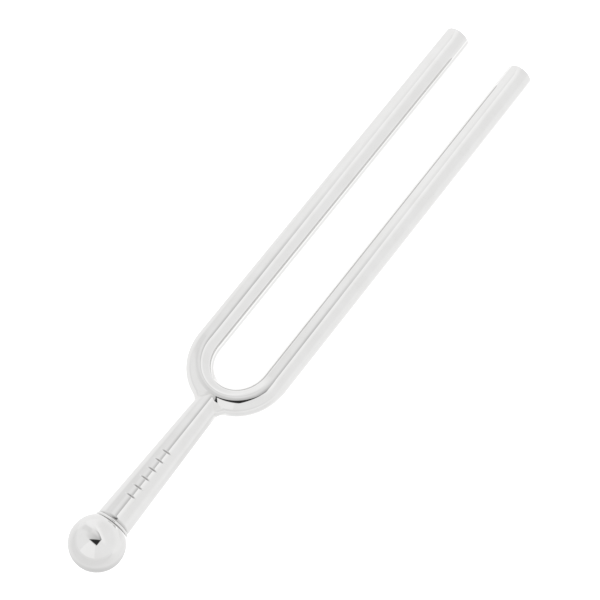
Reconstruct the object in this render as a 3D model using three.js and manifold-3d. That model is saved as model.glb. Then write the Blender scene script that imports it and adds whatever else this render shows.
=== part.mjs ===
// A tuning fork: one round steel bar bent into a U, brazed to a tapered stem that ends in a bead and a
// ball foot. Millimetres, +Z up. The fork lies on a flat surface, on its ball and on both tine ends, with
// its tines towards +Y, and the origin is under the middle of its bounding box.
//
// Every piece is built in the fork's own frame first: X across the tines, +Y along the fork towards their
// ends, Y = 0 where the bend starts, and Z square to the plane of the bar.

import * as THREE from 'three';
import { mergeVertices, toCreasedNormals } from 'three/addons/utils/BufferGeometryUtils.js';
import Module from 'manifold-3d';

// The bent bar: both tines and the yoke between them
const BAR_RADIUS = 2.5;
const TINE_SPACING = 14; // between the tines' centre lines
const TINE_LENGTH = 78.6; // straight part of each tine
const BEND_DEPTH = 8; // from the start of the bend down to the yoke's centre line
const END_CHAMFER = 0.4;

// The stem, widening from the yoke to the bead
const STEM_LENGTH = 26.6; // from the yoke's underside to the bead
const STEM_TOP_RADIUS = 2.43;
const STEM_FOOT_RADIUS = 3.22;
const STEM_ROUNDING = 0.5; // of the edge at the foot
const TENON_RADIUS = 1.3;
const TENON_LENGTH = 3; // inside the yoke

// The bead and the ball
const BEAD_RADIUS = 3.33;
const BEAD_HEIGHT = 0.65;
const BALL_RADIUS = 5;
const BALL_SEAT = 3.65; // from the ball's centre up to the flat that the bead sits on

// The headless stud that holds stem, bead and ball together
const STUD_RADIUS = 1.5;
const STUD_ENGAGEMENT = 4; // in the stem, and in the ball
const STUD_CHAMFER = 0.3;

// The braze filler round the joint of stem and yoke
const BRAZE_SHOULDER_RADIUS = 3.4; // where it runs out under the bar
const BRAZE_WAIST = 0.25; // its thickness on the stem in the middle of the fillet
const BRAZE_SKIRT = 0.12; // and where it runs out on the stem
const BRAZE_DROP = 0.8; // how far it reaches down the stem from the yoke's underside
const BRAZE_HALF_THICKNESS = 2.75; // above and below the plane of the bar

// Six plain engraved strokes on the upper side of the stem
const MARK_COUNT = 6;
const MARK_PITCH = 2;
const MARK_LENGTH = 2; // round the stem
const MARK_WIDTH = 0.3; // along the stem
const MARK_DEPTH = 0.3;
const MARK_ROW_DROP = 16.6; // from the yoke's underside to the middle of the row
const MARK_TURN = THREE.MathUtils.degToRad(3.5); // from straight up, towards +X

// Clearances
const SEAM_GAP = 0.1; // between pieces that meet on the outside
const FIT_GAP = 0.2; // round the hidden tenon and stud
const END_GAP = 0.3; // past the end of the tenon and of the stud

// Fineness
const ROUND_SIDES = 32;
const BEND_STEPS = 28;
const BALL_STEPS = 10; // in a quarter of the ball's outline
const BEAD_STEPS = 8; // in the bead's rounded rim
const ROUNDING_STEPS = 4; // in the rounding at the stem's foot
const CREASE = THREE.MathUtils.degToRad(25);

// Levels along the fork
const YOKE_UNDERSIDE = -BEND_DEPTH - BAR_RADIUS;
const STEM_FOOT = YOKE_UNDERSIDE - STEM_LENGTH;
const BEAD_FOOT = STEM_FOOT - BEAD_HEIGHT;
const BALL_CENTRE = BEAD_FOOT - BALL_SEAT;
const STUD_TOP = STEM_FOOT + STUD_ENGAGEMENT;
const STUD_FOOT = BEAD_FOOT - STUD_ENGAGEMENT;
const TENON_TOP = YOKE_UNDERSIDE + TENON_LENGTH;

const BORE_RADIUS = STUD_RADIUS + FIT_GAP;

const wasm = await Module();
wasm.setup();

// ---------------------------------------------------------------- solids

function toSolid(geometry) {
  const bare = geometry.clone();
  bare.deleteAttribute('normal');
  bare.deleteAttribute('uv');
  const merged = mergeVertices(bare);
  return new wasm.Manifold(new wasm.Mesh({
    numProp: 3,
    vertProperties: merged.attributes.position.array,
    triVerts: Uint32Array.from(merged.index.array),
  }));
}

function toGeometry(solid) {
  const { vertProperties, triVerts } = solid.getMesh();
  const geometry = new THREE.BufferGeometry();
  geometry.setAttribute('position', new THREE.BufferAttribute(vertProperties, 3));
  geometry.setIndex(new THREE.BufferAttribute(triVerts, 1));
  return toCreasedNormals(geometry, CREASE);
}

// A solid of revolution about the fork's axis. The outline runs upwards on its outer side.
function turned(outline) {
  return toSolid(new THREE.LatheGeometry(outline, ROUND_SIDES));
}

// A round pin or hole along the fork's axis
function pin(radius, foot, top) {
  const cylinder = new THREE.CylinderGeometry(radius, radius, top - foot, ROUND_SIDES);
  cylinder.translate(0, (foot + top) / 2, 0);
  return toSolid(cylinder);
}

function point(radius, level) {
  return new THREE.Vector2(radius, level);
}

function arc(centreRadius, centreLevel, radius, startDegrees, endDegrees, steps) {
  const start = THREE.MathUtils.degToRad(startDegrees);
  const end = THREE.MathUtils.degToRad(endDegrees);
  const curve = new THREE.EllipseCurve(centreRadius, centreLevel, radius, radius, start, end, end < start);
  return curve.getPoints(steps);
}

// ---------------------------------------------------------------- the bent bar

// The bar's centre line, from the left tine's end round the bend to the right tine's end. Each tine is one
// step of the sweep and the bend takes all the others, so the steps follow t and not the length.
class BarCurve extends THREE.Curve {
  getPoint(t, target = new THREE.Vector3()) {
    const step = t * (BEND_STEPS + 2);
    if (step < 1) {
      return target.set(-TINE_SPACING / 2, TINE_LENGTH * (1 - step), 0);
    }
    if (step > BEND_STEPS + 1) {
      return target.set(TINE_SPACING / 2, TINE_LENGTH * (step - BEND_STEPS - 1), 0);
    }
    const turn = Math.PI * (step - 1) / BEND_STEPS;
    return target.set(-TINE_SPACING / 2 * Math.cos(turn), -BEND_DEPTH * Math.sin(turn), 0);
  }

  getUtoTmapping(u) {
    return u;
  }
}

function sweptBar(radius) {
  const section = new THREE.Shape().absarc(0, 0, radius, 0, 2 * Math.PI);
  return toSolid(new THREE.ExtrudeGeometry(section, {
    extrudePath: new BarCurve(),
    steps: BEND_STEPS + 2,
    curveSegments: ROUND_SIDES / 2,
  }));
}

// A ring that takes the sharp edge off the end of a tine
function endChamferCutter(x) {
  const past = 0.2; // how far the ring's slope runs past the bar
  const ring = new THREE.LatheGeometry([
    point(BAR_RADIUS + past, TINE_LENGTH - END_CHAMFER - past),
    point(BAR_RADIUS + past, TINE_LENGTH + past),
    point(BAR_RADIUS - END_CHAMFER - past, TINE_LENGTH + past),
    point(BAR_RADIUS + past, TINE_LENGTH - END_CHAMFER - past),
  ], ROUND_SIDES);
  ring.translate(x, 0, 0);
  return toSolid(ring);
}

function tineBar() {
  const socket = pin(TENON_RADIUS + FIT_GAP, YOKE_UNDERSIDE - BAR_RADIUS, TENON_TOP + END_GAP);
  return sweptBar(BAR_RADIUS)
    .subtract(endChamferCutter(-TINE_SPACING / 2))
    .subtract(endChamferCutter(TINE_SPACING / 2))
    .subtract(socket);
}

// ---------------------------------------------------------------- the stem and its joint

// The stem's radius at a level, on the straight taper carried on past both ends
function stemRadius(level) {
  return THREE.MathUtils.mapLinear(level, YOKE_UNDERSIDE, STEM_FOOT, STEM_TOP_RADIUS, STEM_FOOT_RADIUS);
}

function engravedStroke(index) {
  const level = YOKE_UNDERSIDE - MARK_ROW_DROP + (index - (MARK_COUNT - 1) / 2) * MARK_PITCH;
  const height = 1; // of the cutter, most of it above the stem
  const stroke = new THREE.BoxGeometry(MARK_LENGTH, MARK_WIDTH, height);
  stroke.translate(0, level, stemRadius(level) - MARK_DEPTH + height / 2);
  stroke.rotateY(MARK_TURN);
  return toSolid(stroke);
}

function stem() {
  const top = -BEND_DEPTH; // inside the bar's cut, so nothing is left of the flat top
  const foot = STEM_FOOT + SEAM_GAP;
  const boreTop = STUD_TOP + END_GAP;
  const body = turned([
    point(0, boreTop + BORE_RADIUS / 2),
    point(BORE_RADIUS, boreTop),
    point(BORE_RADIUS, foot),
    ...arc(STEM_FOOT_RADIUS - STEM_ROUNDING, foot + STEM_ROUNDING, STEM_ROUNDING, -90, 0, ROUNDING_STEPS),
    point(stemRadius(top), top),
    point(0, top),
  ]);
  let solid = body
    .subtract(sweptBar(BAR_RADIUS + SEAM_GAP))
    .add(pin(TENON_RADIUS, YOKE_UNDERSIDE - TENON_LENGTH, TENON_TOP));
  for (let index = 0; index < MARK_COUNT; index += 1) {
    solid = solid.subtract(engravedStroke(index));
  }
  return solid;
}

// The filler metal: a flared collar round the stem's end, nearly flush with the bar above and below, and
// cut away where the bar passes through it
function brazeFillet() {
  const top = -BEND_DEPTH;
  const foot = YOKE_UNDERSIDE - BRAZE_DROP;
  const collar = turned([
    point(stemRadius(foot) + SEAM_GAP, foot),
    point(stemRadius(foot) + SEAM_GAP + BRAZE_SKIRT, foot),
    point(stemRadius(YOKE_UNDERSIDE) + SEAM_GAP + BRAZE_WAIST, YOKE_UNDERSIDE),
    point(BRAZE_SHOULDER_RADIUS, YOKE_UNDERSIDE + BRAZE_DROP),
    point(BRAZE_SHOULDER_RADIUS, top),
    point(stemRadius(top) + SEAM_GAP, top),
    point(stemRadius(foot) + SEAM_GAP, foot),
  ]);
  const slab = new THREE.BoxGeometry(BRAZE_SHOULDER_RADIUS * 3, BEND_DEPTH * 2, BRAZE_HALF_THICKNESS * 2);
  slab.translate(0, YOKE_UNDERSIDE, 0);
  return collar.intersect(toSolid(slab)).subtract(sweptBar(BAR_RADIUS + SEAM_GAP));
}

// ---------------------------------------------------------------- the bead, the ball and their stud

// A turned ring with a rounded rim, standing on Y = 0
function beadCollar() {
  const height = BEAD_HEIGHT - SEAM_GAP;
  const rim = height / 2;
  return turned([
    point(BORE_RADIUS, 0),
    ...arc(BEAD_RADIUS - rim, rim, rim, -90, 90, BEAD_STEPS),
    point(BORE_RADIUS, height),
    point(BORE_RADIUS, 0),
  ]);
}

// The ball, about its own centre, with a flat seat for the bead and a blind bore for the stud
function ballFoot() {
  const seat = BALL_SEAT - SEAM_GAP;
  const seatAngle = THREE.MathUtils.radToDeg(Math.asin(seat / BALL_RADIUS));
  const boreFoot = STUD_FOOT - END_GAP - BALL_CENTRE;
  return turned([
    ...arc(0, 0, BALL_RADIUS, -90, 0, BALL_STEPS),
    ...arc(0, 0, BALL_RADIUS, 0, seatAngle, BALL_STEPS).slice(1),
    point(BORE_RADIUS, seat),
    point(BORE_RADIUS, boreFoot),
    point(0, boreFoot - BORE_RADIUS / 2),
  ]);
}

// The stud, standing on Y = 0
function ballStud() {
  const length = STUD_TOP - STUD_FOOT;
  return turned([
    point(0, 0),
    point(STUD_RADIUS - STUD_CHAMFER, 0),
    point(STUD_RADIUS, STUD_CHAMFER),
    point(STUD_RADIUS, length - STUD_CHAMFER),
    point(STUD_RADIUS - STUD_CHAMFER, length),
    point(0, length),
  ]);
}

// ---------------------------------------------------------------- assembly

const NICKEL = { color: 0xdcdcdb, metalness: 1, roughness: 0.08 };
const BRAZE = { color: 0xd4d2ce, metalness: 1, roughness: 0.16 };
const STUD_STEEL = { color: 0xa9abad, metalness: 1, roughness: 0.35 };

function piece(name, solid, finish, level = 0) {
  const mesh = new THREE.Mesh(toGeometry(solid), new THREE.MeshStandardMaterial(finish));
  mesh.name = name;
  mesh.position.y = level;
  return mesh;
}

const fork = new THREE.Group();
fork.add(
  piece('tine_bar', tineBar(), NICKEL),
  piece('stem', stem(), NICKEL),
  piece('braze_fillet', brazeFillet(), BRAZE),
  piece('bead_collar', beadCollar(), NICKEL, BEAD_FOOT),
  piece('ball_foot', ballFoot(), NICKEL, BALL_CENTRE),
  piece('ball_stud', ballStud(), STUD_STEEL, STUD_FOOT),
);

// The ball is thicker than the bar, so the fork leans down towards its tine ends.
const restingSpan = TINE_LENGTH - END_CHAMFER - BALL_CENTRE;
fork.rotation.x = -Math.asin((BALL_RADIUS - BAR_RADIUS) / restingSpan);

// Bring the underside of the bounding box to Z = 0 and its middle to X = Y = 0.
const bounds = new THREE.Box3().setFromObject(fork, true);
const middle = bounds.getCenter(new THREE.Vector3());
fork.position.set(-middle.x, -middle.y, -bounds.min.z);

const group = new THREE.Group();
group.add(fork);

export default group;
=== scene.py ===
# A tuning fork lying on a pale floor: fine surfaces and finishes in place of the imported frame's.
#
# Each surface is worked out in millimetres in the fork's own frame: X across the tines, Y along the fork
# towards their ends, 0 where the bend starts, and Z square to the plane of the bar. It is then turned and
# moved to where the frame holds the fork, in metres.

import math

import bpy
import numpy as np
from mathutils import Matrix, Vector


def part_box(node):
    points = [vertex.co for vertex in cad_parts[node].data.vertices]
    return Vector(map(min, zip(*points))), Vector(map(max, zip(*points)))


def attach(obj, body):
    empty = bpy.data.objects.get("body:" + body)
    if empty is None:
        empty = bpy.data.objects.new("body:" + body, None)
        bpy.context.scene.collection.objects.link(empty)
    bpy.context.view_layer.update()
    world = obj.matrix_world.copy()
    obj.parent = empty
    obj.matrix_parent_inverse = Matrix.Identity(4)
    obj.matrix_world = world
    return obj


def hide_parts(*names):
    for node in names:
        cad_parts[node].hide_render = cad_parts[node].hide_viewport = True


MILLIMETRE = 0.001

# ---------------------------------------------------------------- driving dimensions, in millimetres

BAR_RADIUS = 2.5
TINE_SPACING = 14.0
TINE_LENGTH = 78.6
BEND_DEPTH = 8.0
END_CHAMFER = 0.4

STEM_LENGTH = 26.6
STEM_TOP_RADIUS = 2.43
STEM_FOOT_RADIUS = 3.22
STEM_ROUNDING = 1.6
STEM_ROUNDING_TURN = 21.0  # degrees of the rounding that are left above the bead
FOOT_SHADE = 1.6  # how fast the painted shade on the rounding deepens towards its lower edge
FOOT_SHADE_TURN = math.radians(75)  # the side of the foot where the painted shade and the added roughness are greatest
TENON_CHAMFER = 0.15
STEM_FITTED = 2.0  # the stem's top that is cut to the bar, below the yoke's underside
TENON_RADIUS = 1.3
TENON_LENGTH = 3.0

BEAD_RADIUS = 3.33
BEAD_HEIGHT = 0.65
BALL_RADIUS = 5.0
BALL_SEAT = 3.65

STUD_RADIUS = 1.5
STUD_ENGAGEMENT = 4.0
STUD_CHAMFER = 0.3
THREAD_PITCH = 0.5
THREAD_DEPTH = 0.3
THREAD_FLANK = 2.6  # the steepness of the thread's sides, and the flat that is left on its crest
THREAD_CREST = 0.3

BRAZE_FILLET = 1.8

MARK_COUNT = 6
MARK_PITCH = 2.0
MARK_DEPTH = 0.2
MARK_HALF_WIDTH = 0.15
MARK_ROW_DROP = 16.6
MARK_TURN = math.radians(3.5)
MARK_TONE = 0.8  # how dark the painted shade in the strokes is at their middle, and how much lighter it gets towards the left
MARK_TONE_FALL = 1.5
MARK_TONE_LEAST = 0.2

SEAM_GAP = 0.1
FIT_GAP = 0.2
END_GAP = 0.3
SKIN = 0.002  # the fine surfaces stay this far inside the frame's box
HAIRLINE = 0.03  # between the bar and what fits round it
SEAM_SEEN = 0.01  # the gap that is left to see between stem and bead
SEAT_SEEN = 0.12  # and between bead and ball

YOKE_UNDERSIDE = -BEND_DEPTH - BAR_RADIUS
STEM_FOOT = YOKE_UNDERSIDE - STEM_LENGTH
BEAD_FOOT = STEM_FOOT - BEAD_HEIGHT
BALL_CENTRE = BEAD_FOOT - BALL_SEAT
TENON_TOP = YOKE_UNDERSIDE + TENON_LENGTH
BORE_RADIUS = STUD_RADIUS + FIT_GAP

# ---------------------------------------------------------------- fineness

BAR_SIDES = 128
BEND_STEPS = 192
TINE_STEPS = 40
TINE_END_STEPS = 8
TINE_END_RINGS = (0.6, 0.3)  # on the flat, as shares of its radius
ROUND_SIDES = 256
EDGE_STEPS = 16
STEM_STEP = 0.5
STEM_FIRST_STEP = 0.1
STROKE_STEPS = 24
FITTED_STEPS = 15
CAP_STEPS = 7
FILLET_STEPS = 14
RIM_STEPS = 24
BALL_STEPS = 120
STUD_STEPS = 199
SOLVER_STEPS = 40
NEAREST_STEPS = 8
SHARP_TURN = math.radians(30)  # an edge that turns more than this stays sharp

# ---------------------------------------------------------------- camera

CAMERA_AIM = Vector((1.15, -0.24, 4.0)) * MILLIMETRE
CAMERA_AZIMUTH = math.radians(35.634)  # 0 looks along +Y and 90 along -X
CAMERA_ELEVATION = math.radians(64.818)
CAMERA_DISTANCE = 403.6 * MILLIMETRE
CAMERA_LENS = 136.0
SENSOR_WIDTH = 36.0
CAMERA_CLIP = 0.01


# ---------------------------------------------------------------- surfaces

def stem_radius(level):
    """The stem's radius at a level, on the straight taper carried on past both ends."""
    share = (YOKE_UNDERSIDE - level) / STEM_LENGTH
    return STEM_TOP_RADIUS + (STEM_FOOT_RADIUS - STEM_TOP_RADIUS) * share


def arc(centre, radius, start, end, steps):
    """Points of a circle's arc in (radius, level), angles in degrees."""
    angles = np.radians(np.linspace(start, end, steps + 1))
    return [(centre[0] + radius * math.cos(a), centre[1] + radius * math.sin(a)) for a in angles]


def turn_angles():
    return np.arange(ROUND_SIDES) * 2 * math.pi / ROUND_SIDES


def ring(radius, level):
    """A ring about the fork's axis. The radius and the level are numbers, or one number for each side."""
    angles = turn_angles()
    radius = np.broadcast_to(radius, angles.shape)
    level = np.broadcast_to(level, angles.shape)
    return np.stack([radius * np.cos(angles), level, radius * np.sin(angles)], axis=1)


def pole(level):
    """The one point where a turned surface meets the fork's axis."""
    return np.array([[0.0, level, 0.0]])


def lathe(outline):
    """Rows of a surface of revolution from (radius, level) points."""
    return [pole(level) if radius == 0 else ring(radius, level) for radius, level in outline]


def band_faces(first, first_size, second, second_size):
    """The faces between two neighbouring rows of points."""
    size = max(first_size, second_size)
    faces = []
    for side in range(size):
        after = (side + 1) % size
        if first_size == 1:
            faces.append((first, second + after, second + side))
        elif second_size == 1:
            faces.append((first + side, first + after, second))
        else:
            faces.append((first + side, first + after, second + after, second + side))
    return faces


def skin(rows, closed=False):
    """Joins rows into one surface. With closed, the last row is joined to the first."""
    starts = np.cumsum([0] + [len(row) for row in rows[:-1]])
    faces = []
    for index in range(len(rows) if closed else len(rows) - 1):
        after = (index + 1) % len(rows)
        faces += band_faces(int(starts[index]), len(rows[index]), int(starts[after]), len(rows[after]))
    return np.concatenate(rows), faces


def shape_mesh(name, points, faces, lay, recess=None):
    """A mesh in the fork's own frame. lay is each point's place on the straightened piece, for materials,
    and the last argument is the shade painted on its metal, from 0 to 1 at the bottom of an engraved stroke."""
    mesh = bpy.data.meshes.new(name)
    mesh.from_pydata(points.tolist(), [], faces)
    mesh.attributes.new("lay", "FLOAT_VECTOR", "POINT").data.foreach_set("vector", lay.ravel())
    if recess is None:
        recess = np.zeros(len(points))
    mesh.attributes.new("recess", "FLOAT", "POINT").data.foreach_set("value", recess)
    return mesh


def bored(mesh, radius, foot, top):
    """The mesh with a round hole cut along the fork's axis."""
    points, faces = skin(lathe([(0, foot), (radius, foot), (radius, top), (0, top)]))
    drill = bpy.data.objects.new("drill", shape_mesh("drill", points, faces, points))
    blank = bpy.data.objects.new("blank", mesh)
    for item in (drill, blank):
        bpy.context.scene.collection.objects.link(item)
    cut = blank.modifiers.new("cut", "BOOLEAN")
    cut.operation = "DIFFERENCE"
    cut.solver = "EXACT"
    cut.object = drill
    done = bpy.data.meshes.new_from_object(blank.evaluated_get(bpy.context.evaluated_depsgraph_get()))
    for item in (drill, blank):
        bpy.data.objects.remove(item)
    return done


# ---------------------------------------------------------------- the bar's centre line

def bend_point(turn):
    """A point of the bend's centre line, from the left tine at 0 to the right tine at pi."""
    zero = np.zeros_like(turn)
    return np.stack([-TINE_SPACING / 2 * np.cos(turn), -BEND_DEPTH * np.sin(turn), zero], axis=-1)


def nearest_on_bend(points):
    """The nearest points of the bend's centre line."""
    half = TINE_SPACING / 2
    turn = np.arctan2(-points[:, 1] / BEND_DEPTH, -points[:, 0] / half)
    for _ in range(NEAREST_STEPS):
        sine, cosine = np.sin(turn), np.cos(turn)
        offset_x = points[:, 0] + half * cosine
        offset_y = points[:, 1] + BEND_DEPTH * sine
        slope = offset_x * half * sine - offset_y * BEND_DEPTH * cosine
        curve = (
            offset_x * half * cosine + offset_y * BEND_DEPTH * sine
            - (half * sine) ** 2 - (BEND_DEPTH * cosine) ** 2
        )
        turn = turn - slope / curve
    return bend_point(turn)


def solve_level(distance, place):
    """The levels under the yoke where place(levels) is that far from the bar's centre line."""
    low = np.full(ROUND_SIDES, YOKE_UNDERSIDE - 2 * BAR_RADIUS)
    high = np.full(ROUND_SIDES, -BEND_DEPTH)
    for _ in range(SOLVER_STEPS):
        middle = (low + high) / 2
        points = place(middle)
        gap = np.linalg.norm(points - nearest_on_bend(points), axis=1)
        below = gap > distance
        low = np.where(below, middle, low)
        high = np.where(below, high, middle)
    return (low + high) / 2


# ---------------------------------------------------------------- the bent bar

def bar_stations():
    """(centre, outward normal, distance along the bar) of each ring but those of the rounded ends."""
    stations = []
    tine = np.linspace(TINE_LENGTH - END_CHAMFER, 0, TINE_STEPS, endpoint=False)
    along = 0.0
    for level in tine:
        stations.append(((-TINE_SPACING / 2, level), (-1.0, 0.0), -level))
    previous = None
    for turn in np.linspace(0, math.pi, BEND_STEPS + 1):
        centre = np.array([-TINE_SPACING / 2 * math.cos(turn), -BEND_DEPTH * math.sin(turn)])
        normal = np.array([-BEND_DEPTH * math.cos(turn), -TINE_SPACING / 2 * math.sin(turn)])
        if previous is not None:
            along += float(np.linalg.norm(centre - previous))
        previous = centre
        stations.append((tuple(centre), tuple(normal / np.linalg.norm(normal)), along))
    for level in tine[::-1]:
        stations.append(((TINE_SPACING / 2, level), (1.0, 0.0), along + level))
    return stations


def bar_ring(centre, normal, radius):
    angles = np.arange(BAR_SIDES) * 2 * math.pi / BAR_SIDES
    across = radius * np.cos(angles)
    x = centre[0] + normal[0] * across
    y = centre[1] + normal[1] * across
    return np.stack([x, y, radius * np.sin(angles)], axis=1)


def bar_lay(along, radius):
    """The ring's place on the bar as it was before it was bent."""
    angles = np.arange(BAR_SIDES) * 2 * math.pi / BAR_SIDES
    return np.stack([radius * np.cos(angles), np.full(BAR_SIDES, along), radius * np.sin(angles)], axis=1)


def tine_bar():
    radius = BAR_RADIUS - SKIN / 2
    rows, lay = [], []
    for centre, normal, along in bar_stations():
        rows.append(bar_ring(centre, normal, radius))
        lay.append(bar_lay(along, radius))
    for side, along in ((-1, -TINE_LENGTH), (1, lay[-1][0, 1] + END_CHAMFER)):
        end_rows, end_lay = [], []
        for angle in np.radians(np.linspace(0, 90, TINE_END_STEPS + 1))[1:]:
            inset = END_CHAMFER * (1 - math.cos(angle))
            level = TINE_LENGTH - END_CHAMFER + (END_CHAMFER - SKIN) * math.sin(angle)
            end_rows.append(bar_ring((side * TINE_SPACING / 2, level), (side * 1.0, 0.0), radius - inset))
            end_lay.append(bar_lay(along, radius - inset))
        for share in TINE_END_RINGS:
            flat = share * (radius - END_CHAMFER)
            end_rows.append(bar_ring((side * TINE_SPACING / 2, level), (side * 1.0, 0.0), flat))
            end_lay.append(bar_lay(along, flat))
        end_rows.append(np.array([[side * TINE_SPACING / 2, level, 0.0]]))
        end_lay.append(np.array([[0.0, along, 0.0]]))
        if side < 0:
            rows = end_rows[::-1] + rows
            lay = end_lay[::-1] + lay
        else:
            rows = rows + end_rows
            lay = lay + end_lay
    points, faces = skin(rows)
    bar = shape_mesh("bar", points, faces, np.concatenate(lay))
    return bored(bar, TENON_RADIUS + FIT_GAP, YOKE_UNDERSIDE - BAR_RADIUS, TENON_TOP + END_GAP)


# ---------------------------------------------------------------- the stem

def mark_levels():
    middle = YOKE_UNDERSIDE - MARK_ROW_DROP
    return [middle + (index - (MARK_COUNT - 1) / 2) * MARK_PITCH for index in range(MARK_COUNT)]


def stroke_swing():
    """The angle of each side of the stem from the middle of the strokes."""
    up_turn = math.pi / 2 - MARK_TURN
    return (turn_angles() - up_turn + math.pi) % (2 * math.pi) - math.pi


def stroke_depth(level):
    """How deep the engraved strokes cut at each side of the ring at that level.

    Each stroke is a straight V-shaped cut across the round stem, so it runs out at both ends.
    """
    radius = stem_radius(level)
    middle_depth = MARK_DEPTH - (radius * stroke_swing()) ** 2 / (2 * radius)
    depth = np.zeros(ROUND_SIDES)
    soft = MARK_HALF_WIDTH / 6
    slope = MARK_DEPTH / MARK_HALF_WIDTH
    for stroke in mark_levels():
        beside = math.sqrt((level - stroke) ** 2 + soft ** 2) - soft
        cut = middle_depth - slope * beside
        depth = np.maximum(depth, (cut + np.sqrt(cut ** 2 + (soft / 2) ** 2)) / 2)
    return np.where(depth < soft / 40, 0, depth)


def stem_levels(foot, top):
    """Levels of the stem's rings, closer together where the strokes are."""
    levels = set(np.round(np.arange(foot, top, STEM_STEP), 4))
    reach = 2 * MARK_HALF_WIDTH
    for stroke in mark_levels():
        fine = np.linspace(stroke - reach, stroke + reach, STROKE_STEPS + 1)
        levels.update(np.round(fine, 4))
    return sorted(levels)


def fitted_ring(radius):
    """The ring of that radius that just clears the bar."""
    return ring(radius, solve_level(BAR_RADIUS + HAIRLINE, lambda level: ring(radius, level)))


def stem():
    """The stem from its bore, over its foot and up the taper to its tenon."""
    foot = STEM_FOOT + SEAM_SEEN / 2
    bore_top = STEM_FOOT + STUD_ENGAGEMENT + END_GAP
    edge_top = foot + STEM_ROUNDING * math.sin(math.radians(STEM_ROUNDING_TURN))
    edge_centre = (stem_radius(edge_top) - STEM_ROUNDING, edge_top)
    edge = arc(edge_centre, STEM_ROUNDING, -STEM_ROUNDING_TURN, 0, EDGE_STEPS)
    rows = lathe([(0, bore_top + BORE_RADIUS / 2), (BORE_RADIUS, bore_top), (BORE_RADIUS, foot)])
    depths = [np.zeros(len(row)) for row in rows]
    rows += lathe(edge)
    # The rounding above the bead is darkened with painted shade, deepest at its lower edge and on one side;
    # the same share makes it rougher.
    shaded_side = np.maximum(np.cos(turn_angles() - FOOT_SHADE_TURN), 0)
    for share in np.linspace(1, 0, len(edge)):
        depths.append(MARK_DEPTH * np.clip(FOOT_SHADE * (share - 1 + shaded_side), 0, 1))
    # Each stroke is darkened with painted shade as deep as it cuts, lighter towards the left.
    stroke_shade = np.clip(MARK_TONE - MARK_TONE_FALL * stroke_swing(), MARK_TONE_LEAST, 1)
    straight_top = YOKE_UNDERSIDE - STEM_FITTED
    for level in stem_levels(edge_top + STEM_FIRST_STEP, straight_top):
        depth = stroke_depth(level)
        rows.append(ring(stem_radius(level) - depth, level))
        depths.append(depth * stroke_shade)
    top = solve_level(BAR_RADIUS + HAIRLINE, lambda level: ring(stem_radius(level), level))
    for share in np.linspace(0, 1, FITTED_STEPS + 1):
        level = straight_top + share * (top - straight_top)
        rows.append(ring(stem_radius(level), level))
    for share in np.linspace(1, 0, CAP_STEPS + 1)[1:]:
        rows.append(fitted_ring(TENON_RADIUS + share * (stem_radius(top) - TENON_RADIUS)))
    rows += lathe([
        (TENON_RADIUS, TENON_TOP - TENON_CHAMFER),
        (TENON_RADIUS - TENON_CHAMFER, TENON_TOP),
        (0, TENON_TOP),
    ])
    points, faces = skin(rows)
    recess = np.zeros(len(points))
    depths = np.concatenate(depths)
    recess[:len(depths)] = depths / MARK_DEPTH
    return shape_mesh("stem", points, faces, points, recess)


# ---------------------------------------------------------------- the braze fillet

def braze_fillet():
    """The filler between stem and bar: the surface that a ball of the fillet's radius would roll out."""
    taper = math.atan((STEM_FOOT_RADIUS - STEM_TOP_RADIUS) / STEM_LENGTH)
    reach = BRAZE_FILLET / math.cos(taper)
    level = solve_level(BAR_RADIUS + BRAZE_FILLET, lambda level: ring(stem_radius(level) + reach, level))
    middle = stem_radius(level) + reach
    centre = ring(middle, level)
    on_stem = ring(middle - BRAZE_FILLET * math.cos(taper), level - BRAZE_FILLET * math.sin(taper))
    nearest = nearest_on_bend(centre)
    to_bar = (nearest - centre) / np.linalg.norm(nearest - centre, axis=1, keepdims=True)
    from_stem = (on_stem - centre) / BRAZE_FILLET
    angle = np.arccos(np.clip(np.sum(from_stem * to_bar, axis=1), -1, 1))[:, None]
    rows = []
    for share in np.linspace(0, 1, FILLET_STEPS + 1):
        swing = np.sin((1 - share) * angle) * from_stem + np.sin(share * angle) * to_bar
        rows.append(centre + BRAZE_FILLET * swing / np.sin(angle))
    corner = solve_level(BAR_RADIUS, lambda level: ring(stem_radius(level), level))
    rows.append(ring(stem_radius(corner), corner))
    points, faces = skin(rows, closed=True)
    return shape_mesh("turned", points, faces, points)


# ---------------------------------------------------------------- the bead, the ball and the stud

def bead_collar():
    foot = BEAD_FOOT + SEAT_SEEN / 2
    top = STEM_FOOT - SEAM_SEEN / 2
    rim = (top - foot) / 2
    outline = [(BORE_RADIUS, foot)]
    outline += arc((BEAD_RADIUS - rim, (foot + top) / 2), rim, -90, 90, RIM_STEPS)
    outline += [(BORE_RADIUS, top)]
    points, faces = skin(lathe(outline), closed=True)
    return shape_mesh("turned", points, faces, points)


def ball_foot():
    radius = BALL_RADIUS - SKIN
    seat = BALL_SEAT - SEAT_SEEN / 2
    seat_angle = math.degrees(math.asin(seat / radius))
    bore_foot = BALL_SEAT - STUD_ENGAGEMENT - END_GAP
    outline = [(0, -radius)]
    outline += arc((0, 0), radius, -90, seat_angle, BALL_STEPS)[1:]
    outline += [(BORE_RADIUS, seat), (BORE_RADIUS, bore_foot), (0, bore_foot - BORE_RADIUS / 2)]
    outline = [(across, BALL_CENTRE + level) for across, level in outline]
    points, faces = skin(lathe(outline))
    return shape_mesh("turned", points, faces, points)


def thread_radius(turns, level, foot, top):
    """The radius of a V thread that fades out in the chamfers at both ends."""
    phase = (level / THREAD_PITCH - turns) % 1.0
    tooth = np.clip(np.abs(phase - 0.5) * THREAD_FLANK - THREAD_CREST, 0, 1)
    radius = STUD_RADIUS - THREAD_DEPTH * tooth
    for end in (level - foot, top - level):
        radius = np.minimum(radius, STUD_RADIUS - STUD_CHAMFER + np.maximum(end, 0))
    return radius


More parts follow.
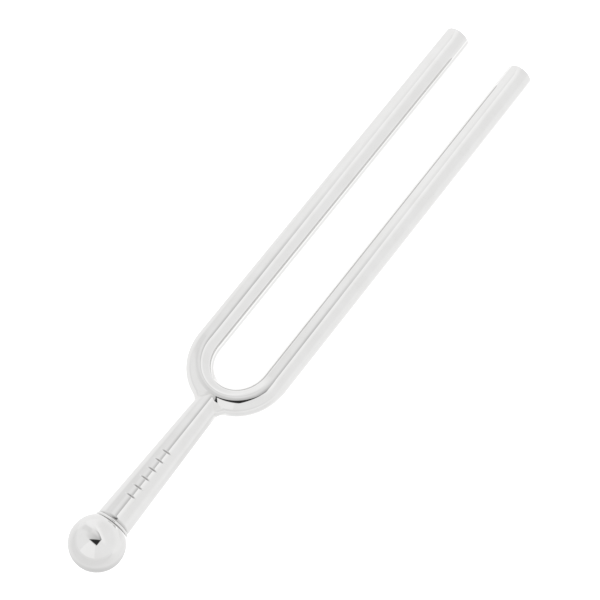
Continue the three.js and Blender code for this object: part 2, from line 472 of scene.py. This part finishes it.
def ball_stud():
    foot = BEAD_FOOT - STUD_ENGAGEMENT
    top = STEM_FOOT + STUD_ENGAGEMENT
    turns = turn_angles() / (2 * math.pi)
    rows = [pole(foot)]
    for level in np.linspace(foot, top, STUD_STEPS + 1):
        rows.append(ring(thread_radius(turns, level, foot, top), level))
    rows.append(pole(top))
    points, faces = skin(rows)
    return shape_mesh("turned", points, faces, points)


# ---------------------------------------------------------------- placing

def fork_placement():
    """The matrix from the fork's own frame, in millimetres, to the frame's, in metres.

    The ball is thicker than the bar, so the fork leans. The bead is round and symmetric about its own
    middle, so the middle of its box gives the fork's place.
    """
    resting_span = TINE_LENGTH - END_CHAMFER - BALL_CENTRE
    lean = Matrix.Rotation(-math.asin((BALL_RADIUS - BAR_RADIUS) / resting_span), 4, "X")
    low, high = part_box("bead_collar")
    middle_level = BEAD_FOOT + (BEAD_HEIGHT - SEAM_GAP) / 2
    place = (low + high) / 2 - lean @ Vector((0, middle_level, 0)) * MILLIMETRE
    return Matrix.Translation(place) @ lean @ Matrix.Scale(MILLIMETRE, 4)


def make_piece(name, node, mesh, material, placement):
    """Puts a fine surface in the place of the frame's node."""
    mesh.name = name
    mesh.transform(placement)
    mesh.materials.append(material)
    mesh.shade_smooth()
    mesh.set_sharp_from_angle(angle=SHARP_TURN)
    piece = bpy.data.objects.new(name, mesh)
    bpy.context.scene.collection.objects.link(piece)
    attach(piece, "root")
    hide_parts(node)


# ---------------------------------------------------------------- shader nodes

class Nodes:
    """A node tree and short calls to fill it."""

    def __init__(self, tree):
        self.tree = tree
        tree.nodes.clear()

    def feed(self, socket, value):
        if isinstance(value, bpy.types.NodeSocket):
            self.tree.links.new(value, socket)
        else:
            socket.default_value = value

    def add(self, kind, settings=None, **inputs):
        node = self.tree.nodes.new(kind)
        for key, value in (settings or {}).items():
            setattr(node, key, value)
        for key, value in inputs.items():
            self.feed(node.inputs[key.replace("_", " ")], value)
        return node

    def math(self, operation, *values):
        node = self.tree.nodes.new("ShaderNodeMath")
        node.operation = operation
        for socket, value in zip(node.inputs, values):
            self.feed(socket, value)
        return node.outputs[0]

    def between(self, operation, first, second):
        """A vector operation on two vectors, such as DOT_PRODUCT, DISTANCE or MULTIPLY."""
        node = self.tree.nodes.new("ShaderNodeVectorMath")
        node.operation = operation
        self.feed(node.inputs[0], first)
        self.feed(node.inputs[1], second)
        return node.outputs["Vector" if operation == "MULTIPLY" else "Value"]

    def ramp(self, value, start, end, low=0.0, high=1.0, smooth=False):
        """low up to start, high from end on, and a slope between them."""
        node = self.tree.nodes.new("ShaderNodeMapRange")
        node.interpolation_type = "SMOOTHSTEP" if smooth else "LINEAR"
        self.feed(node.inputs["Value"], value)
        for key, number in zip(("From Min", "From Max", "To Min", "To Max"), (start, end, low, high)):
            self.feed(node.inputs[key], number)
        return node.outputs["Result"]

    def inside(self, direction, normals, softness):
        """1 on the inner side of every plane, 0 past any of them."""
        depths = [self.between("DOT_PRODUCT", direction, normal) for normal in normals]
        return self.product(*[self.ramp(depth, softness, -softness, smooth=True) for depth in depths])

    def product(self, first, *others):
        for other in others:
            first = self.math("MULTIPLY", first, other)
        return first

    def patch(self, along, amount, fades):
        """An amount that fades in over ranges of X, Y and Z, each given as (axis, start, end)."""
        ramps = [self.ramp(along.outputs[axis], start, end) for axis, start, end in fades]
        return self.product(amount, *ramps)

    def mix(self, factor, first, second):
        """first where factor is 0 and second where it is 1."""
        node = self.tree.nodes.new("ShaderNodeMix")
        node.data_type = "FLOAT"
        self.feed(node.inputs[0], factor)
        self.feed(node.inputs[2], first)
        self.feed(node.inputs[3], second)
        return node.outputs[0]

    def mix_colour(self, factor, first, second):
        """The first colour where factor is 0 and the second where it is 1."""
        node = self.tree.nodes.new("ShaderNodeMix")
        node.data_type = "RGBA"
        colours = [c if isinstance(c, bpy.types.NodeSocket) else (*c, 1) for c in (first, second)]
        self.feed(node.inputs[0], factor)
        self.feed(node.inputs[6], colours[0])
        self.feed(node.inputs[7], colours[1])
        return node.outputs[2]

    def noise(self, vector, scale, detail):
        node = self.tree.nodes.new("ShaderNodeTexNoise")
        self.feed(node.inputs["Vector"], vector)
        self.feed(node.inputs["Scale"], scale)
        self.feed(node.inputs["Detail"], detail)
        return node.outputs["Fac"]


# ---------------------------------------------------------------- materials

NICKEL = (0.735, 0.733, 0.73)
NICKEL_WORN = (0.715, 0.711, 0.705)
# The colour of the painted shade in the strokes and on the stem's foot.
NICKEL_PAINTED_SHADE = (0.53, 0.525, 0.52)
BRAZE = (0.73, 0.727, 0.722)
BRAZE_WORN = (0.70, 0.694, 0.685)
STUD = (0.50, 0.51, 0.52)
STUD_WORN = (0.36, 0.365, 0.37)

# Sizes of the patterns, as repeats per millimetre. The pairs are where on the noise a change starts and ends,
# and what it changes to where there are four.
CLOUD_SCALE = 0.35
CLOUD_COLOUR = (0.35, 0.7)
CLOUD_ROUGHNESS = (0.3, 0.75)
RUB_SCALE = 1.7
RUB_SHARE = (0.45, 0.75)
WAVE_SCALE = 0.22
TURNED_LINES = 7.0
TURNED_STRETCH = 0.25
DRAWN_LINES = 4.0
DRAWN_STRETCH = 0.06
LINE_COLOUR = (1.1, 1.5, 0.0, 0.5)
RECESS_ROUGHNESS = 0.2

STUD_LINES = 12.0
STUD_LINE_COLOUR = (0.35, 0.65)
STUD_LINE_HEIGHT = 0.01
OIL_SCALE = 0.8
OIL_COLOUR = (0.5, 0.8, 0.0, 0.6)
OIL_ROUGHNESS = (0.3, 0.7, 0.26, 0.42)


def turned_lines(nodes, lay, count):
    """Noise drawn out round the piece, as a lathe or a polishing mop leaves it."""
    stretched = nodes.between("MULTIPLY", lay, (TURNED_STRETCH, count, TURNED_STRETCH))
    return nodes.noise(stretched, 1.0, detail=3.0)


def drawn_lines(nodes, lay, count):
    """Noise drawn out along the piece, as a draw plate leaves it."""
    stretched = nodes.between("MULTIPLY", lay, (count, DRAWN_STRETCH, count))
    return nodes.noise(stretched, 1.0, detail=3.0)


def metal(name, finish):
    """A metal material. finish(nodes, lay) gives its colour, roughness and relief in millimetres."""
    material = bpy.data.materials.new(name)
    material.use_nodes = True
    nodes = Nodes(material.node_tree)
    lay = nodes.add("ShaderNodeAttribute", {"attribute_name": "lay"}).outputs["Vector"]
    colour, roughness, relief = finish(nodes, lay)
    bump = nodes.add("ShaderNodeBump", Height=relief)
    bump.inputs["Strength"].default_value = 1.0
    bump.inputs["Distance"].default_value = MILLIMETRE
    shader = nodes.add("ShaderNodeBsdfPrincipled", Roughness=roughness, Normal=bump.outputs[0])
    nodes.feed(shader.inputs["Base Color"], colour)
    shader.inputs["Metallic"].default_value = 1
    output = nodes.add("ShaderNodeOutputMaterial")
    nodes.feed(output.inputs["Surface"], shader.outputs[0])
    return material


def plated(name, bright, worn, recess, smooth, dull, line_height, wave_height):
    """Polished plate: cloudy patches, fine drawn and turned lines, and a surface that is not quite even.

    Its roughness is smooth to dull, and the heights of its lines and waves are in millimetres.
    """

    def finish(nodes, lay):
        # The painted shade that the mesh carries darkens the colour and adds roughness.
        depth = nodes.add("ShaderNodeAttribute", {"attribute_name": "recess"}).outputs["Fac"]
        clouds = nodes.noise(lay, CLOUD_SCALE, detail=4.0)
        rubbed = nodes.ramp(nodes.noise(lay, RUB_SCALE, detail=6.0), *RUB_SHARE)
        drawn = drawn_lines(nodes, lay, DRAWN_LINES)
        lines = nodes.math("ADD", drawn, turned_lines(nodes, lay, TURNED_LINES))
        colour = nodes.mix_colour(nodes.ramp(clouds, *CLOUD_COLOUR), bright, worn)
        colour = nodes.mix_colour(nodes.ramp(lines, *LINE_COLOUR), colour, worn)
        colour = nodes.mix_colour(depth, colour, recess)
        roughness = nodes.ramp(clouds, *CLOUD_ROUGHNESS, smooth, dull)
        roughness = nodes.math("ADD", roughness, nodes.math("MULTIPLY", rubbed, dull / 3))
        roughness = nodes.math("ADD", roughness, nodes.math("MULTIPLY", depth, RECESS_ROUGHNESS))
        waves = nodes.math("MULTIPLY", nodes.noise(lay, WAVE_SCALE, detail=1.0), wave_height)
        return colour, roughness, nodes.math("ADD", waves, nodes.math("MULTIPLY", lines, line_height))

    return metal(name, finish)


def machined_steel(name):
    """Turned screw steel, left as it came off the lathe."""

    def finish(nodes, lay):
        turned = turned_lines(nodes, lay, STUD_LINES)
        oil = nodes.noise(lay, OIL_SCALE, detail=4.0)
        colour = nodes.mix_colour(nodes.ramp(turned, *STUD_LINE_COLOUR), STUD, STUD_WORN)
        colour = nodes.mix_colour(nodes.ramp(oil, *OIL_COLOUR), colour, STUD_WORN)
        return colour, nodes.ramp(oil, *OIL_ROUGHNESS), nodes.math("MULTIPLY", turned, STUD_LINE_HEIGHT)

    return metal(name, finish)


# ---------------------------------------------------------------- studio

# What the metal reflects: a pale sky with a grey scrim overhead, whose edge is seen as a thin dark line, and
# the dark hood round the camera. A shape's sides are planes through the object, given by their normals. A
# fade is a range over which something starts: of X, Y or Z of the direction, or of how far it lies past the
# scrim's edge.
SKY = 0.94
STUDIO_LIGHT = 1.118
DIFFUSE_SKY = 1.35
BACKDROP = 1.0

SCRIM_EDGE = Vector((0.579, 1.0, -0.4)).normalized()
SCRIM_RIGHT = Vector((1.0, 0.0, -0.38)).normalized()
SCRIM_NEAR = Vector((-0.128, -0.935, -0.33)).normalized()
SCRIM_SOFT = 0.012
SCRIM_NEAR_SOFT = 0.1
SCRIM_LINE = 0.36
SCRIM_LINE_FADE = (-0.15, 0.0)
SCRIM_SHADE = 0.42
SCRIM_SHADE_FADE = (-0.75, 0.35)
SCRIM_FAR = 0.15
SCRIM_FAR_FADE = (0.1, 0.3)
SCRIM_END_FADE = (0.38, 0.435)

# A brighter rim past the scrim's edge, a brighter panel on the near side, and slow changes round the sky.
RIM_LIGHT = 0.16
RIM_WIDTH = 0.25
RIM_FADES = (("Y", 0.0, 0.25), ("X", -0.6, -0.3))
WEDGE_SIDES = (Vector((0.871, 0.491, -0.024)), Vector((-0.899, 0.437, -0.039)))
WEDGE_LIGHT = 1.02
WEDGE_FADES = (("Z", 0.12, 0.17),)
FAR_LIGHT = 0.09
FAR_FADES = (("Y", 0.34, 0.44), ("X", -0.3, -0.6))
LEFT_SHADE = 0.08
LEFT_FADES = (("X", -0.45, -0.6), ("Y", 0.365, 0.32), ("Y", 0.0, 0.15), ("Z", 0.1, 0.3))
HORIZON_LIGHT = 0.06
HORIZON_LIGHT_FADES = (("Z", 0.35, 0.0), ("Y", 0.0, 0.2))
HORIZON_SHADE = 0.05
HORIZON_SHADE_FADES = (("Z", 0.17, 0.12), ("Y", 0.0, -0.3))

HOOD_CORNERS = (
    Vector((-0.33, -0.29, 0.898)),
    Vector((0.325, -0.35, 0.879)),
    Vector((0.335, 0.1, 0.937)),
)
HOOD_SOFT = 0.03
HOOD_DARK = 0.03

# The floor, and how it looks in the metal. Places and ranges are in metres.
FLOOR_SIZE = 3.0
FLOOR_DROP = 0.01 * MILLIMETRE
FLOOR_SEEN = 0.97
FLOOR_LIFT = 0.5
FLOOR_MIRRORED = 1.118
FLOOR_MIRRORED_NEAR = 0.96
FLOOR_NEAR_FADE = (-0.075, -0.045)
FLOOR_CLOSE = 1.2
FLOOR_CLOSE_FADE = (0.0037, 0.0057)
FLOOR_CLOSE_START = (-0.002, 0.002)  # from the ball's middle
BALL_SHADOW = 0.78
BALL_SHADOW_SHIFT = Vector((0.0015, -0.0022, 0))
BALL_SHADOW_FADE = (0.0045, 0.0095)
YOKE_SHADOW = 0.93
YOKE_SHADOW_INNER = (0.0085, 0.0095)
YOKE_SHADOW_OUTER = (0.02, 0.032)
YOKE_SHADOW_FRONT = (-0.006, -0.002)  # from the bend's middle
YOKE_SHADOW_LEFT = (-0.007, -0.003)


def scrim_grey(nodes, along, past_edge):
    """The scrim's shade, darker along its edge and towards the camera."""
    line = nodes.ramp(past_edge, *SCRIM_LINE_FADE, 0.0, SCRIM_LINE)
    shade = nodes.ramp(along.outputs["X"], *SCRIM_SHADE_FADE, 0.0, SCRIM_SHADE)
    near = nodes.ramp(along.outputs["Y"], *SCRIM_FAR_FADE, 1.0, SCRIM_FAR)
    grey = nodes.math("ADD", line, nodes.product(shade, near))
    end = nodes.ramp(along.outputs["Y"], *SCRIM_END_FADE, 1.0, 0.0)
    return nodes.math("SUBTRACT", SKY, nodes.product(grey, end))


def studio_sky(nodes, direction):
    """How bright the studio is in each direction, for what the metal mirrors."""
    along = nodes.add("ShaderNodeSeparateXYZ", Vector=direction)
    past_edge = nodes.between("DOT_PRODUCT", direction, SCRIM_EDGE)
    rim = nodes.ramp(past_edge, 0.0, RIM_WIDTH, RIM_LIGHT, 0.0)
    sky = nodes.math("ADD", SKY, nodes.patch(along, rim, RIM_FADES))
    wedge = nodes.inside(direction, WEDGE_SIDES, HOOD_SOFT)
    sky = nodes.mix(nodes.patch(along, wedge, WEDGE_FADES), sky, WEDGE_LIGHT)
    scrim = nodes.product(
        nodes.inside(direction, (SCRIM_EDGE, SCRIM_RIGHT), SCRIM_SOFT),
        nodes.inside(direction, (SCRIM_NEAR,), SCRIM_NEAR_SOFT),
    )
    sky = nodes.mix(scrim, sky, scrim_grey(nodes, along, past_edge))
    lighter = nodes.math(
        "MAXIMUM",
        nodes.patch(along, FAR_LIGHT, FAR_FADES),
        nodes.patch(along, HORIZON_LIGHT, HORIZON_LIGHT_FADES),
    )
    sky = nodes.math("ADD", sky, lighter)
    sky = nodes.math("SUBTRACT", sky, nodes.patch(along, LEFT_SHADE, LEFT_FADES))
    sky = nodes.math("SUBTRACT", sky, nodes.patch(along, HORIZON_SHADE, HORIZON_SHADE_FADES))
    next_corners = HOOD_CORNERS[1:] + HOOD_CORNERS[:1]
    sides = [second.cross(first).normalized() for first, second in zip(HOOD_CORNERS, next_corners)]
    sky = nodes.mix(nodes.inside(direction, sides, HOOD_SOFT), sky, HOOD_DARK)
    return nodes.product(sky, STUDIO_LIGHT)


def build_world():
    world = bpy.data.worlds.new("studio")
    bpy.context.scene.world = world
    world.use_nodes = True
    nodes = Nodes(world.node_tree)
    direction = nodes.add("ShaderNodeTexCoord").outputs["Generated"]
    path = nodes.add("ShaderNodeLightPath")
    shown = nodes.mix(path.outputs["Is Glossy Ray"], DIFFUSE_SKY, studio_sky(nodes, direction))
    shown = nodes.mix(path.outputs["Is Camera Ray"], shown, BACKDROP)
    background = nodes.add("ShaderNodeBackground", Strength=shown)
    background.inputs["Color"].default_value = (1, 1, 1, 1)
    output = nodes.add("ShaderNodeOutputWorld")
    nodes.feed(output.inputs["Surface"], background.outputs[0])


def ball_middle():
    low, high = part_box("ball_foot")
    return (low + high) / 2


def bend_middle():
    """How far along the floor the bend starts, in metres."""
    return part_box("tine_bar")[0].y + (BEND_DEPTH + BAR_RADIUS) * MILLIMETRE


def light_beside_fork(nodes, spot, along):
    """The floor's share of light under and close beside the stem, the bend and the tines."""
    across = nodes.math("ABSOLUTE", along.outputs["X"])
    from_tine = nodes.math("ABSOLUTE", nodes.math("SUBTRACT", across, TINE_SPACING / 2 * MILLIMETRE))
    bend_radius = (TINE_SPACING / 2 + BEND_DEPTH) / 2 * MILLIMETRE
    from_middle = nodes.between("DISTANCE", spot, (0, bend_middle(), 0))
    from_bend = nodes.math("ABSOLUTE", nodes.math("SUBTRACT", from_middle, bend_radius))
    beside_tines = nodes.math("GREATER_THAN", along.outputs["Y"], bend_middle())
    apart = nodes.mix(beside_tines, nodes.math("MINIMUM", across, from_bend), from_tine)
    light = nodes.ramp(apart, *FLOOR_CLOSE_FADE, FLOOR_CLOSE, 1.0)
    start, end = FLOOR_CLOSE_START
    past_ball = nodes.ramp(along.outputs["Y"], ball_middle().y + start, ball_middle().y + end)
    return nodes.mix(past_ball, 1.0, light)


def ball_shadow(nodes, spot):
    """The floor's share of light close to the ball."""
    place = ball_middle() + BALL_SHADOW_SHIFT
    place.z = 0
    apart = nodes.between("DISTANCE", spot, place)
    return nodes.ramp(apart, *BALL_SHADOW_FADE, BALL_SHADOW, 1.0)


def yoke_shadow(nodes, spot, along):
    """The floor's share of light in front of the bend."""
    middle = bend_middle()
    apart = nodes.between("DISTANCE", spot, (0, middle, 0))
    front_start, front_end = YOKE_SHADOW_FRONT
    clear = nodes.ramp(apart, *YOKE_SHADOW_INNER, 1.0, 0.0)
    for other in (
        nodes.ramp(apart, *YOKE_SHADOW_OUTER),
        nodes.ramp(along.outputs["Y"], middle + front_start, middle + front_end),
        nodes.ramp(along.outputs["X"], *YOKE_SHADOW_LEFT, 1.0, 0.0),
    ):
        clear = nodes.math("MAXIMUM", clear, other)
    return nodes.ramp(clear, 0.0, 1.0, YOKE_SHADOW, 1.0)


def floor_mirrored(nodes):
    """How bright the floor is in the metal: a painted glow, dimmer far out on the camera's side, with painted
    light close beside the fork and painted shadows near the ball and in front of the bend.
    """
    spot = nodes.add("ShaderNodeNewGeometry").outputs["Position"]
    along = nodes.add("ShaderNodeSeparateXYZ", Vector=spot)
    return nodes.product(
        nodes.ramp(along.outputs["Y"], *FLOOR_NEAR_FADE, FLOOR_MIRRORED_NEAR, FLOOR_MIRRORED),
        light_beside_fork(nodes, spot, along),
        ball_shadow(nodes, spot),
        yoke_shadow(nodes, spot, along),
    )


def floor_paper():
    """White paper on a light table: it glows a little, and the metal mirrors it as a painted glow with soft
    painted shadows.
    """
    material = bpy.data.materials.new("floor_paper")
    material.use_nodes = True
    nodes = Nodes(material.node_tree)
    mirrored = nodes.add("ShaderNodeLightPath").outputs["Is Glossy Ray"]
    paper = nodes.add("ShaderNodeBsdfDiffuse", Color=nodes.mix(mirrored, FLOOR_SEEN, 0.0))
    glow = nodes.add("ShaderNodeEmission", Strength=nodes.mix(mirrored, FLOOR_LIFT, floor_mirrored(nodes)))
    both = nodes.add("ShaderNodeAddShader")
    nodes.feed(both.inputs[0], paper.outputs[0])
    nodes.feed(both.inputs[1], glow.outputs[0])
    output = nodes.add("ShaderNodeOutputMaterial")
    nodes.feed(output.inputs["Surface"], both.outputs[0])
    return material


def build_floor():
    size = FLOOR_SIZE
    mesh = bpy.data.meshes.new("floor")
    corners = [(-size, -size, 0), (size, -size, 0), (size, size, 0), (-size, size, 0)]
    mesh.from_pydata(corners, [], [(0, 1, 2, 3)])
    mesh.materials.append(floor_paper())
    floor = bpy.data.objects.new("floor", mesh)
    floor.location.z = -FLOOR_DROP
    bpy.context.scene.collection.objects.link(floor)


def build_camera():
    level = math.cos(CAMERA_ELEVATION)
    across = math.sin(CAMERA_AZIMUTH) * level
    along = -math.cos(CAMERA_AZIMUTH) * level
    back = Vector((across, along, math.sin(CAMERA_ELEVATION)))
    data = bpy.data.cameras.new("camera")
    data.lens = CAMERA_LENS
    data.sensor_width = SENSOR_WIDTH
    data.clip_start = CAMERA_CLIP
    camera = bpy.data.objects.new("camera", data)
    camera.location = CAMERA_AIM + back * CAMERA_DISTANCE
    camera.rotation_euler = (-back).to_track_quat("-Z", "Y").to_euler()
    bpy.context.scene.collection.objects.link(camera)
    bpy.context.scene.camera = camera


# ---------------------------------------------------------------- the scene

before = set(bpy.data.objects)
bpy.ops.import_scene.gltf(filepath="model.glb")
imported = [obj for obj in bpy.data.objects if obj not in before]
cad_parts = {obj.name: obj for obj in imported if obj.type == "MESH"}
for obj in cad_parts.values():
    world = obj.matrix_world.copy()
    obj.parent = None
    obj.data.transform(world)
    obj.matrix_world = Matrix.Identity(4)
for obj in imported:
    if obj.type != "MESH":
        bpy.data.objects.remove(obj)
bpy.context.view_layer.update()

bpy.context.scene.view_settings.view_transform = "Standard"

build_camera()
build_floor()
build_world()

placement = fork_placement()
nickel = plated(
    "nickel_plate", NICKEL, NICKEL_WORN, NICKEL_PAINTED_SHADE,
    smooth=0.012, dull=0.04, line_height=0.0001, wave_height=0.003,
)
filler = plated(
    "braze_filler", BRAZE, BRAZE_WORN, NICKEL_PAINTED_SHADE,
    smooth=0.02, dull=0.06, line_height=0.0002, wave_height=0.006,
)
steel = machined_steel("stud_steel")
make_piece("fine_tine_bar", "tine_bar", tine_bar(), nickel, placement)
make_piece("fine_stem", "stem", stem(), nickel, placement)
make_piece("fine_braze_fillet", "braze_fillet", braze_fillet(), filler, placement)
make_piece("fine_bead_collar", "bead_collar", bead_collar(), nickel, placement)
make_piece("fine_ball_foot", "ball_foot", ball_foot(), nickel, placement)
make_piece("fine_ball_stud", "ball_stud", ball_stud(), steel, placement)
